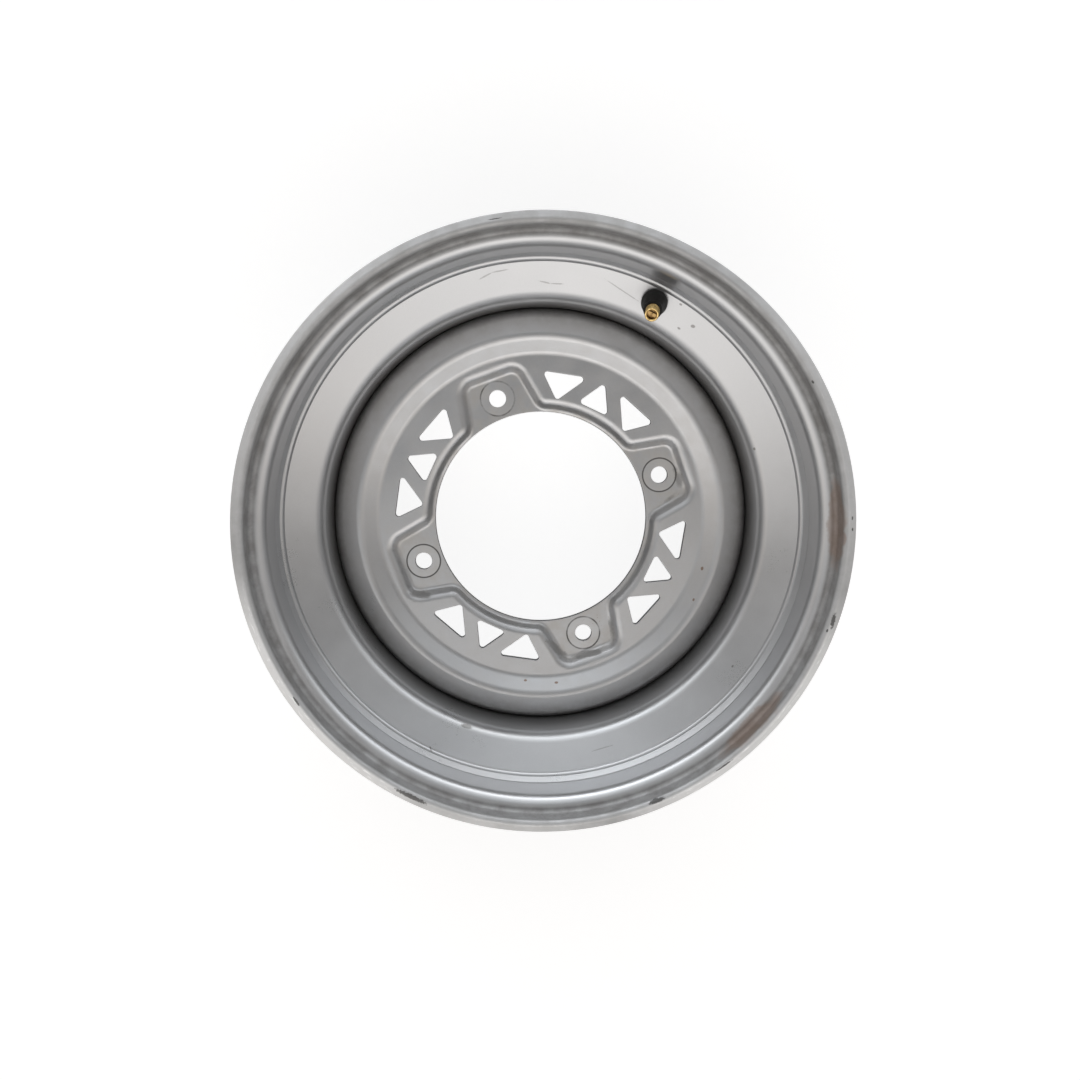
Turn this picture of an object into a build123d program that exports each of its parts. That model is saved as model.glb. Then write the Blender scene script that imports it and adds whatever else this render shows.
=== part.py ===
from build123d import *
from math import cos, hypot, radians, sin, tan
import os

# A pressed steel wheel for a light four-wheeler, lying on its inboard flange.
# Millimetres. The origin is the centre of the lug circle on the hub mounting face,
# and +Z runs along the wheel's axis towards the outboard side, where the valve is.

# Disc sheet, hub bore and lug holes
disc_sheet = 3.5
bore_radius = 65.5
lug_circle_radius = 78.0
lug_count = 4
lug_hole = 10.4
first_lug_angle = 20.0

# Recess round the hub: a ring at the bore and one lobe for each lug pad
recess_ring_radius = 66.8
recess_slope = 38.0
pad_reach = 12.0
pad_half_width = 18.3
pad_flare = 10.5
pad_corner = 5.5
web_nose = 9.5
recess_foot_blend = 2.0
recess_brow_blend = 4.0

# Web, crown and edge flange of the disc
web_rise = 5.5
crown_rise = 6.0
crown_width = 20.5
crown_slope = 42.0
crown_foot_blend = 2.5
crown_brow_blend = 5.0
crown_fall = 12.0
edge_bend = 9.0
edge_flange_end = 14.0

# Windows of one quarter, measured along and across the quarter's middle line
middle_window_foot = 73.9
middle_window_tip = 91.4
middle_window_half = 10.1
side_window_tip_along = 69.2
side_window_tip_across = 22.3
side_window_near_along = 89.8
side_window_near_across = 10.5
side_window_far_along = 81.8
side_window_far_across = 37.7
window_corner = 1.9

# Barrel: a rolled drop-centre hoop, the same at both flanges
barrel_sheet = 2.3
rim_width = 177.8
outboard_offset = 76.2
seat_radius = 152.0
flange_height = 13.0
lip_drop = 4.4
lip_reach = 12.5
lip_fall = 19.0
lip_edge_round = 0.8
seat_width = 18.0
hump_rise = 0.9
hump_width = 3.9
shelf_drop = 2.7
shelf_slant = 4.0
shelf_taper = 0.7
shelf_width = 3.6
outboard_wall_slope = 28.0
inboard_wall_slope = 60.0
well_drop = 22.5

# Bend radii of the barrel, along the middle of its sheet
lip_bend = 1.5
flange_foot_bend = 2.2
seat_bend = 4.4
seat_end_bend = 3.0
hump_bend = 2.2
shelf_bend = 1.5
well_bend = 6.8

# Weld stitches between the disc's edge and the well
edge_clearance = 0.1
weld_leg = 3.0
weld_count = 8
weld_sweep = 26.0

# Snap-in valve in the outboard wall of the barrel
valve_angle = 63.8
valve_rise = 11.1
valve_hole = 11.5
valve_clearance = 0.15
bulb_radius = 7.4
bulb_foot_radius = 6.2
bulb_swell = 1.8
bulb_height = 3.2
rubber_nose_radius = 5.2
rubber_taper_end = 13.5
rubber_end = 15.2
rubber_foot_radius = 9.5
rubber_foot_height = 5.5
rubber_foot_bevel = 3.0
stem_radius = 3.5
stem_thread_radius = 3.85
stem_thread_gap = 0.3
stem_tip = 23.0
stem_foot = 8.2
stem_edge = 0.4
stem_mouth_radius = 2.65
stem_mouth_depth = 5.6
stem_seat_length = 2.2
stem_duct_radius = 1.95

# Valve core, screwed into the mouth of the stem
core_clearance = 0.1
core_recess = 1.2
core_thread_length = 4.2
bridge_height = 1.6
bridge_width = 1.8
bridge_hole = 1.1
core_wall = 0.3
core_tube_radius = 1.5
core_tube_length = 6.5
core_floor = 0.8
gasket_gap = 0.05
gasket_length = 2.1
pin_radius = 0.45
pin_stand = 0.3
pin_tail = 1.8
collar_radius = 0.9
collar_height = 0.6
seal_radius = 1.35
seal_height = 1.4
spring_wire = 0.24
spring_radius = 0.78
spring_turns = 6

level_margin = disc_sheet / 100

flange_radius = seat_radius + flange_height
lip_radius = flange_radius - lip_drop
well_radius = seat_radius - well_drop
well_inside = well_radius - barrel_sheet
valve_seat_radius = well_radius + valve_rise
web_top = disc_sheet + web_rise
crown_top = web_top + crown_rise
disc_radius = well_inside - edge_clearance
crown_foot = disc_radius - crown_width
web_radius = crown_foot - crown_rise * tan(radians(crown_slope))


def recess_outline():
    """The hub recess at its foot, seen from outboard, in the sketch that is open."""
    reach = lug_circle_radius + pad_reach
    root = bore_radius - pad_reach
    flare = tan(radians(pad_flare))
    narrow = pad_half_width - pad_reach * flare
    wide = pad_half_width + (lug_circle_radius - root) * flare
    Circle(recess_ring_radius)
    with BuildSketch(mode=Mode.PRIVATE) as lobe:
        with BuildLine():
            FilletPolyline(
                (root, -wide), (reach, -narrow), (reach, narrow), (root, wide),
                radius=pad_corner,
            )
            Line((root, wide), (root, -wide))
        make_face()
    with PolarLocations(0, lug_count, first_lug_angle):
        add(lobe.sketch)


def disc_form(inset):
    """Solid behind the disc's outboard skin, or behind a skin that lies inset deeper."""
    slope = radians(recess_slope)
    edge_top = crown_top - crown_width * tan(radians(crown_fall))
    deep = -2 * (edge_flange_end + disc_sheet)
    foot_shift = inset * (1 - sin(slope)) / cos(slope)
    with BuildPart() as form:
        with BuildSketch(Plane.XZ):
            with BuildLine():
                FilletPolyline(
                    (0, web_top),
                    (web_radius, web_top),
                    (crown_foot, crown_top),
                    (disc_radius, edge_top),
                    (disc_radius, deep),
                    radius=[crown_foot_blend, crown_brow_blend, edge_bend],
                )
                Polyline((disc_radius, deep), (0, deep), (0, web_top))
            make_face()
            if inset:
                offset(amount=-inset)
        revolve(axis=Axis.Z)
        with BuildSketch(Plane.XY.offset(disc_sheet - inset)) as recess:
            recess_outline()
            noses = recess.vertices().filter_by(
                lambda v: abs(hypot(v.X, v.Y) - recess_ring_radius) < edge_clearance
            )
            fillet(noses, web_nose)
            if inset:
                offset(amount=foot_shift)
        extrude(amount=web_rise, taper=-recess_slope, mode=Mode.SUBTRACT)
        inner = form.edges().filter_by(
            lambda e: hypot((e @ 0.5).X, (e @ 0.5).Y) < web_radius - 2 * crown_foot_blend
        )
        low = disc_sheet - inset
        high = web_top - inset
        foot = inner.filter_by_position(Axis.Z, low - level_margin, low + level_margin)
        brow = inner.filter_by_position(Axis.Z, high - level_margin, high + level_margin)
        fillet(brow, recess_brow_blend - inset)
        fillet(foot, recess_foot_blend + inset)
    return form.part


def window_outlines():
    """Three rounded triangles for each quarter between two lug pads."""
    side = [
        (side_window_tip_along, side_window_tip_across),
        (side_window_near_along, side_window_near_across),
        (side_window_far_along, side_window_far_across),
    ]
    mirrored = [(x, -y) for x, y in side]
    with PolarLocations(0, lug_count, first_lug_angle + 180 / lug_count):
        Polygon(
            (middle_window_foot, -middle_window_half),
            (middle_window_tip, 0),
            (middle_window_foot, middle_window_half),
            align=None,
        )
        Polygon(*side, align=None)
        Polygon(*mirrored, align=None)


# Pressed disc: two skins a sheet apart, trimmed at the edge flange, then pierced
with BuildPart() as wheel_disc:
    add(disc_form(0))
    add(disc_form(disc_sheet), mode=Mode.SUBTRACT)
    split(bisect_by=Plane.XY.offset(-edge_flange_end), keep=Keep.TOP)
    with BuildSketch() as windows:
        window_outlines()
        fillet(windows.vertices(), window_corner)
    extrude(amount=crown_top, mode=Mode.SUBTRACT)
    with BuildSketch():
        Circle(bore_radius)
        with PolarLocations(lug_circle_radius, lug_count, first_lug_angle):
            Circle(lug_hole / 2)
    extrude(amount=crown_top, both=True, mode=Mode.SUBTRACT)
wheel_disc.part.label = "wheel_disc"


def flange_bends():
    """Bend radii from the lip to the well, one for each corner of the flange line."""
    return [
        lip_bend, flange_foot_bend, seat_bend, seat_end_bend,
        hump_bend, shelf_bend, shelf_bend, well_bend,
    ]


def flange_line(wall_slope):
    """Middle of the sheet from lip to well: radius, and depth behind the flange's tyre face."""
    half = barrel_sheet / 2
    seat = seat_radius - half
    lip = lip_radius - half
    well = well_radius - half
    hump = seat + hump_rise
    shelf = hump - shelf_drop
    shelf_end = shelf - shelf_taper
    hump_depth = seat_width + hump_width
    shelf_depth = hump_depth + shelf_slant
    wall_depth = shelf_depth + shelf_width
    well_depth = wall_depth + (shelf_end - well) * tan(radians(wall_slope))
    return [
        (flange_radius, -lip_reach + (flange_radius - lip) * tan(radians(lip_fall))),
        (lip, -lip_reach),
        (lip, -half),
        (seat, -half),
        (seat, seat_width),
        (hump, hump_depth),
        (shelf, shelf_depth),
        (shelf_end, wall_depth),
        (well, well_depth),
    ]


outboard = [(r, outboard_offset - d) for r, d in flange_line(outboard_wall_slope)]
inboard = [(r, outboard_offset - rim_width + d) for r, d in flange_line(inboard_wall_slope)]
wall_foot = outboard[-1]
valve_lean = radians(outboard_wall_slope)
valve_height = (
    wall_foot[1]
    + (valve_seat_radius - wall_foot[0]) * tan(valve_lean)
    + barrel_sheet / 2 / cos(valve_lean)
)
turn = radians(valve_angle)
valve_seat = Vector(
    valve_seat_radius * cos(turn), valve_seat_radius * sin(turn), valve_height
)
valve_side = Vector(-sin(turn), cos(turn), 0)
valve_out = Vector(
    -sin(valve_lean) * cos(turn), -sin(valve_lean) * sin(turn), cos(valve_lean)
)
valve_plane = Plane(origin=valve_seat, x_dir=valve_side, z_dir=valve_out)
valve_section = Plane(
    origin=valve_seat, x_dir=valve_side, z_dir=valve_side.cross(valve_out)
)
valve_axis = Axis(valve_seat, valve_out)

# Barrel: the sheet's middle line, given its thickness and revolved
with BuildPart() as rim_barrel:
    with BuildSketch(Plane.XZ) as hoop:
        with BuildLine():
            FilletPolyline(
                *outboard, *reversed(inboard),
                radius=flange_bends() + list(reversed(flange_bends())),
            )
        trace(line_width=barrel_sheet)
        lips = hoop.vertices().filter_by(lambda v: v.X > flange_radius - barrel_sheet / 2)
        fillet(lips, lip_edge_round)
    revolve(axis=Axis.Z)
    with BuildSketch(valve_plane):
        Circle(valve_hole / 2)
    extrude(amount=2 * barrel_sheet, both=True, mode=Mode.SUBTRACT)
rim_barrel.part.label = "rim_barrel"

# Weld: stitches in the corner between the disc's edge flange and the well
with BuildPart() as stitch:
    with BuildSketch(Plane.XZ):
        with BuildLine():
            Polyline(
                (well_inside - weld_leg, -edge_flange_end),
                (well_inside, -edge_flange_end),
                (well_inside, -edge_flange_end - weld_leg),
            )
            SagittaArc(
                (well_inside, -edge_flange_end - weld_leg),
                (well_inside - weld_leg, -edge_flange_end),
                weld_leg / 8,
            )
        make_face()
    revolve(axis=Axis.Z, revolution_arc=weld_sweep)
with BuildPart() as disc_weld:
    with PolarLocations(0, weld_count, first_lug_angle):
        add(stitch.part)
disc_weld.part.label = "disc_weld"

# Valve rubber: foot behind the wall, neck in the hole, bulb and taper in front of it
rubber_behind = -barrel_sheet - valve_clearance
with BuildPart() as valve_rubber:
    with BuildSketch(valve_section):
        with BuildLine():
            Polyline(
                (stem_radius, rubber_behind - rubber_foot_height),
                (rubber_foot_radius - rubber_foot_bevel, rubber_behind - rubber_foot_height),
                (rubber_foot_radius, rubber_behind - rubber_foot_height + rubber_foot_bevel),
                (rubber_foot_radius, rubber_behind),
                (valve_hole / 2 - valve_clearance / 2, rubber_behind),
                (valve_hole / 2 - valve_clearance / 2, valve_clearance),
                (bulb_foot_radius, valve_clearance),
                (bulb_radius, bulb_swell),
                (bulb_radius, bulb_height),
                (rubber_nose_radius, rubber_taper_end),
                (rubber_nose_radius, rubber_end),
                (stem_radius, rubber_end),
                close=True,
            )
        make_face()
    revolve(axis=valve_axis)
valve_rubber.part.label = "valve_rubber"

# Valve stem: a brass tube with a wider threaded mouth and a tapered core seat
with BuildPart() as valve_stem:
    with BuildSketch(valve_section):
        with BuildLine():
            Polyline(
                (stem_duct_radius, -stem_foot),
                (stem_radius, -stem_foot),
                (stem_radius, rubber_end + stem_thread_gap),
                (stem_thread_radius, rubber_end + stem_thread_gap),
                (stem_thread_radius, stem_tip - stem_edge),
                (stem_thread_radius - stem_edge, stem_tip),
                (stem_mouth_radius + stem_edge, stem_tip),
                (stem_mouth_radius, stem_tip - stem_edge),
                (stem_mouth_radius, stem_tip - stem_mouth_depth),
                (stem_duct_radius, stem_tip - stem_mouth_depth - stem_seat_length),
                close=True,
            )
        make_face()
    revolve(axis=valve_axis)
valve_stem.part.label = "valve_stem"

# Core body: threaded plug with a bridge across its top and a thin tube below
plug_radius = stem_mouth_radius - core_clearance
plug_top = stem_tip - core_recess - bridge_height
plug_foot = plug_top + bridge_height - core_thread_length
tube_foot = plug_foot - core_tube_length
tube_inside = core_tube_radius - core_wall
with BuildPart() as valve_core_body:
    with BuildSketch(valve_section):
        with BuildLine():
            Polyline(
                (bridge_hole / 2, tube_foot),
                (core_tube_radius, tube_foot),
                (core_tube_radius, plug_foot),
                (plug_radius, plug_foot),
                (plug_radius, plug_top),
                (tube_inside, plug_top),
                (tube_inside, tube_foot + core_floor),
                (bridge_hole / 2, tube_foot + core_floor),
                close=True,
            )
        make_face()
    revolve(axis=valve_axis)
    with BuildSketch(valve_plane.offset(plug_top)):
        Circle(plug_radius)
        Rectangle(2 * plug_radius, bridge_width, mode=Mode.INTERSECT)
        Circle(bridge_hole / 2, mode=Mode.SUBTRACT)
    extrude(amount=bridge_height)
valve_core_body.part.label = "valve_core_body"

# Core gasket: a tapered ring on the tube, against the seat in the stem
seat_rate = (stem_mouth_radius - stem_duct_radius) / stem_seat_length
seat_top = stem_tip - stem_mouth_depth
gasket_foot_radius = stem_mouth_radius - gasket_gap - gasket_length * seat_rate
with BuildPart() as valve_core_gasket:
    with BuildSketch(valve_section):
        with BuildLine():
            Polyline(
                (core_tube_radius, plug_foot),
                (core_tube_radius, seat_top - gasket_length),
                (gasket_foot_radius, seat_top - gasket_length),
                (stem_mouth_radius - gasket_gap, seat_top),
                (stem_mouth_radius - gasket_gap, plug_foot),
                close=True,
            )
        make_face()
    revolve(axis=valve_axis)
valve_core_gasket.part.label = "valve_core_gasket"

# Core pin, with the collar that the spring lifts and the tail that holds the seal
seal_top = tube_foot - gasket_gap
collar_top = plug_top - core_clearance
tail_top = seal_top - seal_height
with BuildPart() as valve_core_pin:
    with BuildSketch(valve_section):
        with BuildLine():
            Polyline(
                (0, tail_top - pin_tail),
                (collar_radius, tail_top - pin_tail / 2),
                (collar_radius, tail_top),
                (pin_radius, tail_top),
                (pin_radius, collar_top - collar_height),
                (collar_radius, collar_top - collar_height),
                (collar_radius, collar_top),
                (pin_radius, collar_top),
                (pin_radius, stem_tip - core_recess + pin_stand),
                (0, stem_tip - core_recess + pin_stand),
                close=True,
            )
        make_face()
    revolve(axis=valve_axis)
valve_core_pin.part.label = "valve_core_pin"

# Core seal: the rubber washer that the pin draws up against the foot of the tube
with BuildPart() as valve_core_seal:
    with BuildSketch(valve_plane.offset(tail_top)):
        Circle(seal_radius)
        Circle(pin_radius, mode=Mode.SUBTRACT)
    extrude(amount=seal_height)
valve_core_seal.part.label = "valve_core_seal"

# Core spring, between the tube's floor and the pin's collar
spring_foot = tube_foot + core_floor + spring_wire / 2
spring_length = collar_top - collar_height - spring_wire / 2 - spring_foot
spring_start = valve_plane.offset(spring_foot)
with BuildPart() as valve_core_spring:
    with BuildLine():
        coil = Helix(
            pitch=spring_length / spring_turns,
            height=spring_length,
            radius=spring_radius,
            center=spring_start.origin,
            direction=valve_out,
        )
    with BuildSketch(Plane(origin=coil @ 0, z_dir=coil % 0)):
        Circle(spring_wire / 2)
    sweep(path=coil)
valve_core_spring.part.label = "valve_core_spring"

os.makedirs("parts", exist_ok=True)
export_step(wheel_disc.part, "parts/wheel_disc.step")
export_step(rim_barrel.part, "parts/rim_barrel.step")
export_step(disc_weld.part, "parts/disc_weld.step")
export_step(valve_rubber.part, "parts/valve_rubber.step")
export_step(valve_stem.part, "parts/valve_stem.step")
export_step(valve_core_body.part, "parts/valve_core_body.step")
export_step(valve_core_gasket.part, "parts/valve_core_gasket.step")
export_step(valve_core_pin.part, "parts/valve_core_pin.step")
export_step(valve_core_seal.part, "parts/valve_core_seal.step")
export_step(valve_core_spring.part, "parts/valve_core_spring.step")
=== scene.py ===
from math import atan2, ceil, copysign, cos, floor, pi, radians, sin, sqrt, tan

import bpy
import numpy as np
from mathutils import Matrix, Vector
from mathutils.geometry import delaunay_2d_cdt


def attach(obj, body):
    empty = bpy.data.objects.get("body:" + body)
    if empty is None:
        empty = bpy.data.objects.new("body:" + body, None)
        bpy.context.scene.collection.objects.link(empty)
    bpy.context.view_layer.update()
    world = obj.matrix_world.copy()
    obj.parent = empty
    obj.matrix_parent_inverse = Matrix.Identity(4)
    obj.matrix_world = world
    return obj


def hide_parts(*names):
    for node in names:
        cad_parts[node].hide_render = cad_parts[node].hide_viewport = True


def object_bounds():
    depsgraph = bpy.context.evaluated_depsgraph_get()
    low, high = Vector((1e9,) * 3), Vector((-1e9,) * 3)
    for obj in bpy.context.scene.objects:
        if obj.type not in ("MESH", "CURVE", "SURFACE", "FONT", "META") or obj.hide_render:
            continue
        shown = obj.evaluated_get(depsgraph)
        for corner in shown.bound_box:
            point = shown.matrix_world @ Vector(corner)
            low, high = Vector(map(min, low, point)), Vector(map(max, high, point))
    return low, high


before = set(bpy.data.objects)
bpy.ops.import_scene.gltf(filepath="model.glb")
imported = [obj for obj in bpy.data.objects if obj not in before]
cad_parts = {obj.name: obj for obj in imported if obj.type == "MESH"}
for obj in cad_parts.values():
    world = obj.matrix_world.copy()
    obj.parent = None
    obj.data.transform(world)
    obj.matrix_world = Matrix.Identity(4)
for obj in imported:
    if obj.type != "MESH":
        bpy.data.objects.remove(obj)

# A pressed steel wheel lying on its inboard flange, in metres.
# The origin is the centre of the lug circle on the hub face; +Z points outboard, +Y is up in the picture.
cad_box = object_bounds()

# Disc
disc_sheet = 0.0035
bore_radius = 0.0655
lug_radius = 0.078
lug_count = 4
lug_hole = 0.0052
first_lug_angle = radians(20)
recess_ring = 0.0668
recess_slope = radians(38)
pad_end = lug_radius + 0.012
pad_half_width = 0.0183
pad_flare = radians(10.5)
pad_corner = 0.0055
web_nose = 0.0095
recess_bends = (0.003, 0.0055)
web_rise = 0.0055
crown_rise = 0.006
crown_width = 0.0173
crown_slope = radians(58)
crown_fall = radians(14.1)
crown_bends = (0.006, 0.007, 0.009)
edge_flange_end = -0.014
disc_edge_round = 0.0005
join_margin = 0.0027
near_recess = (-0.0035, 0.0095)
web_top = disc_sheet + web_rise
crown_top = web_top + crown_rise
punched_round = 0.00035

# Windows of one quarter, along and across the quarter's middle line
middle_window = [(0.0739, -0.0101), (0.0914, 0.0), (0.0739, 0.0101)]
side_window = [(0.0692, 0.0223), (0.0898, 0.0105), (0.0818, 0.0377)]
window_corner = 0.0019

# Barrel
barrel_sheet = 0.0023
rim_width = 0.1778
outboard_offset = 0.0762
seat_radius = 0.152
flange_radius = 0.165
lip_radius = 0.1606
lip_reach = 0.0125
lip_fall = radians(19)
lip_edge_round = 0.0008
seat_width = 0.018
hump_rise = 0.0022
hump_width = 0.0058
shoulder_runs = [(0.00305, 0.0042), (0.0011, 0.00015), (0.001, 0.00159)]
wall_slopes = (radians(28), radians(60))
well_radius = 0.1295
barrel_bends = [0.0015, 0.0035, 0.005, 0.0025, 0.0018, 0.00125, 0.0012, 0.0012, 0.0085]
disc_radius = well_radius - barrel_sheet - 0.0001
crown_foot = disc_radius - crown_width
web_radius = crown_foot - crown_rise * tan(crown_slope)

# Weld stitches
weld_count = 8
weld_leg = 0.003
weld_sweep = radians(26)
weld_ripple = 0.0011
weld_rows = 14
weld_steps = 6
weld_dip = 0.13
weld_bulge = 0.5
weld_inset = 0.93

# Valve
valve_angle = radians(63.8)
valve_seat_radius = 0.1406
valve_hole = 0.00575
valve_neck = 0.005675
valve_gap = 0.00015
boot_foot_radius = 0.0095
boot_foot_depth = 0.0055
boot_foot_slope = 0.003
bulb_foot_radius = 0.0062
bulb_radius = 0.0074
bulb_heights = (0.0018, 0.0032)
taper_radius = 0.0052
taper_top = 0.0135
boot_top = 0.0152
boot_bends = [0.0002, 0.0012, 0.0012, 0.0006, 0.0003, 0.0001, 0.0003, 0.0012, 0.0025, 0.002, 0.0006, 0.0001]
stem_radius = 0.0035
thread_radius = 0.00385
thread_pitch = 0.000794
thread_depth = 0.0004
thread_start = 0.0155
stem_tip = 0.023
stem_foot = -0.0082
stem_edge = 0.0004
stem_bend = 0.0001
thread_runout = 0.0002
mouth_runout = 0.0003
mouth_radius = 0.00265
mouth_depth = 0.0056
mouth_taper = 0.0022
mouth_thread_depth = 0.00018
duct_radius = 0.00195

# Camera
camera_place = Vector((-0.0189, 0.0609, 0.5474))
camera_aim = Vector((-0.00065, -0.0143, 0.0))
camera_lens = 29.33
camera_sensor = 36.0

# Fineness of the meshes
barrel_columns = 288
disc_columns = 360
hole_columns = 48
boot_columns = 96
stem_columns = 64
bend_steps = 7
end_steps = 5
recess_steps = 16
nose_steps = 24
window_steps = 8
crown_steps = 12
boot_steps = 8
fine_step = 0.0008
coarse_step = 0.0035
free_share = 0.6
slope_step = 0.00005


# Outlines

def bent_line(corners, bends, steps=bend_steps, closed=False):
    """Points and headings of a line whose corners are arcs tangent to both their runs.

    A bend of radius b that turns by a takes b * tan(a / 2) off each run. As the heading h
    goes from one run's to the next's, its arc is centre + side * b * (sin h, -cos h).
    A corner that doesn't turn is a single point.
    """
    corners = np.asarray(corners, float)
    if closed:
        middle = (corners[-1] + corners[0]) / 2
        corners = np.vstack([middle, corners, middle])
    runs = np.diff(corners, axis=0)
    ways = np.arctan2(runs[:, 1], runs[:, 0])
    points, headings = [corners[:1]], [ways[:1]]
    for corner, before, after, bend in zip(corners[1:-1], ways[:-1], ways[1:], bends):
        turn = (after - before + pi) % (2 * pi) - pi
        if abs(turn) < 1e-6:
            points.append(corner[None])
            headings.append(np.array([before]))
            continue
        side = copysign(1, turn)
        start = corner - bend * tan(abs(turn) / 2) * np.array([cos(before), sin(before)])
        centre = start + side * bend * np.array([-sin(before), cos(before)])
        heading = before + turn * np.linspace(0, 1, steps + 1)
        points.append(centre + side * bend * np.c_[np.sin(heading), -np.cos(heading)])
        headings.append(heading)
    if not closed:
        points.append(corners[-1:])
        headings.append(ways[-1:])
    return np.vstack(points), np.concatenate(headings)


def evened(points, headings, step):
    """A closed line with points added along its long straight runs, at most a step apart."""
    following = np.roll(points, -1, axis=0)
    counts = np.ceil(np.linalg.norm(following - points, axis=1) / step).astype(int)
    run = np.repeat(np.arange(len(points)), counts)
    share = (np.arange(len(run)) - np.repeat(np.cumsum(counts) - counts, counts)) / counts[run]
    ways = np.where(share > 0, np.roll(headings, -1)[run], headings[run])
    return points[run] + share[:, None] * (following - points)[run], ways


def left_of(headings):
    """Unit vectors a quarter turn left of each heading."""
    return np.c_[-np.sin(headings), np.cos(headings)]


def toward(angles):
    """Plane unit vectors (cos a, sin a) at angles a."""
    return np.stack([np.cos(angles), np.sin(angles)], -1)


def unit(vectors):
    """Vectors divided by their lengths."""
    return vectors / np.maximum(np.linalg.norm(vectors, axis=-1, keepdims=True), 1e-15)


def circle(radius, count, centre=(0.0, 0.0)):
    """Points round a circle, with the unit vectors that point away from its centre."""
    away = toward(np.linspace(0, 2 * pi, count, endpoint=False))
    return np.asarray(centre) + radius * away, away


def turned_by(points, angle):
    """Plane points turned about the origin."""
    c, s = cos(angle), sin(angle)
    return points @ np.array([[c, s], [-s, c]])


# Meshes

def ring_faces(rows, columns, close_rows, close_columns=True):
    """Four-cornered faces of a grid whose points are numbered row by row, column by column."""
    r = np.arange(rows if close_rows else rows - 1)
    c = np.arange(columns if close_columns else columns - 1)
    c, r = np.meshgrid(c, r, indexing="ij")
    r2, c2 = (r + 1) % rows, (c + 1) % columns
    return np.stack([c * rows + r, c * rows + r2, c2 * rows + r2, c2 * rows + r], -1).reshape(-1, 4)


def turned(outline, outward, columns):
    """Carries (radius, height) points round the axis: (r cos a, r sin a, z), column by column."""
    ring = toward(np.linspace(0, 2 * pi, columns, endpoint=False))[:, None]

    def carry(flat):
        upright = np.broadcast_to(flat[None, :, 1:], (columns, len(flat), 1))
        return np.concatenate([ring * flat[None, :, :1], upright], -1).reshape(-1, 3)

    return carry(outline), carry(outward)


def grid_normals(grid):
    """Unit normals of a grid closed both ways, from the cross product of its two differences."""
    along = np.roll(grid, -1, 1) - np.roll(grid, 1, 1)
    around = np.roll(grid, -1, 0) - np.roll(grid, 1, 0)
    return unit(np.cross(around, along))


def filled(points, loops):
    """Triangles between loops of plane points: index pairs of each loop's edges hold, holes stay open.

    points holds every loop's points and the loose ones; loops lists (first, count, is_hole).
    A triangle whose three corners lie on one round hole's loop is inside that hole, and is dropped.
    """
    edges, owner = [], np.full(len(points), -1)
    for number, (first, count, is_hole) in enumerate(loops):
        index = np.arange(first, first + count)
        edges += np.c_[index, np.roll(index, -1)].tolist()
        if is_hole:
            owner[index] = number
    out = delaunay_2d_cdt([Vector(p) for p in (points * 1000).tolist()], edges, [], 0, 1e-7, True)
    source = np.array([o[0] for o in out[3]])
    faces = source[np.array(out[2])]
    rim = owner[faces]
    inside = (rim[:, 0] >= 0) & (rim[:, 0] == rim[:, 1]) & (rim[:, 1] == rim[:, 2])
    return faces[~inside]


def make_mesh(name, parts, material, replaced):
    """One smooth piece of the rim from parts of (points, normals, faces), joined where points meet.

    Faces are turned to agree with their normals, and each corner keeps its own part's normal,
    so an edge between two parts stays crisp while the surface stays closed.
    """
    start, points, normals, faces = 0, [], [], []
    for part_points, part_normals, part_faces in parts:
        points.append(part_points)
        normals.append(part_normals)
        faces.append(part_faces + start)
        start += len(part_points)
    points, normals = np.vstack(points), np.vstack(normals)
    kept, first, joined = np.unique(
        np.round(points * 1e7).astype(np.int64), axis=0, return_index=True, return_inverse=True
    )
    joined = joined.reshape(-1)
    corners, corner_normals, sizes = [], [], []
    for block in faces:
        a, b, c = (points[block[:, k]] for k in (0, 1, 2))
        flat = np.cross(b - a, c - a)
        if block.shape[1] == 4:
            flat = np.cross(c - a, points[block[:, 3]] - b)
        facing = np.einsum("ij,ij->i", flat, normals[block].sum(1))
        block = np.where(facing[:, None] < 0, block[:, ::-1], block)
        ids = joined[block]
        doubled = ids == np.roll(ids, 1, axis=1)
        keep = ~doubled.any(1)
        corners.append(ids[keep].ravel())
        corner_normals.append(normals[block[keep]].reshape(-1, 3))
        sizes.append(np.full(keep.sum(), block.shape[1]))
        short = np.flatnonzero(doubled.sum(1) == 1) if block.shape[1] == 4 else []
        for row in short:
            corners.append(ids[row][~doubled[row]])
            corner_normals.append(normals[block[row][~doubled[row]]])
            sizes.append(np.array([3]))
    corners = np.concatenate(corners)
    sizes = np.concatenate(sizes)
    mesh = bpy.data.meshes.new(name)
    mesh.vertices.add(len(kept))
    mesh.vertices.foreach_set("co", points[first].astype(np.float32).ravel())
    mesh.loops.add(len(corners))
    mesh.loops.foreach_set("vertex_index", corners.astype(np.int32))
    mesh.polygons.add(len(sizes))
    mesh.polygons.foreach_set("loop_start", np.r_[0, np.cumsum(sizes)[:-1]].astype(np.int32))
    mesh.update(calc_edges=True)
    mesh.validate()
    mesh.shade_smooth()
    mesh.normals_split_custom_set(np.vstack(corner_normals).tolist())
    mesh.materials.append(material)
    piece = bpy.data.objects.new(name, mesh)
    bpy.context.scene.collection.objects.link(piece)
    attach(piece, "rim")
    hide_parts(replaced)


# Barrel

def flange_line(wall_slope):
    """Middle of the sheet from lip to well, as (radius, depth behind the flange's tyre face)."""
    half = barrel_sheet / 2
    seat, lip, well = seat_radius - half, lip_radius - half, well_radius - half
    line = [
        (flange_radius, -lip_reach + (flange_radius - lip) * tan(lip_fall)),
        (lip, -lip_reach),
        (lip, -half),
        (seat, -half),
        (seat, seat_width),
        (seat + hump_rise, seat_width + hump_width),
    ]
    for fall, way in shoulder_runs:
        radius, depth = line[-1]
        line.append((radius - fall, depth + way))
    radius, depth = line[-1]
    line.append((well, depth + (radius - well) * tan(wall_slope)))
    return line


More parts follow.
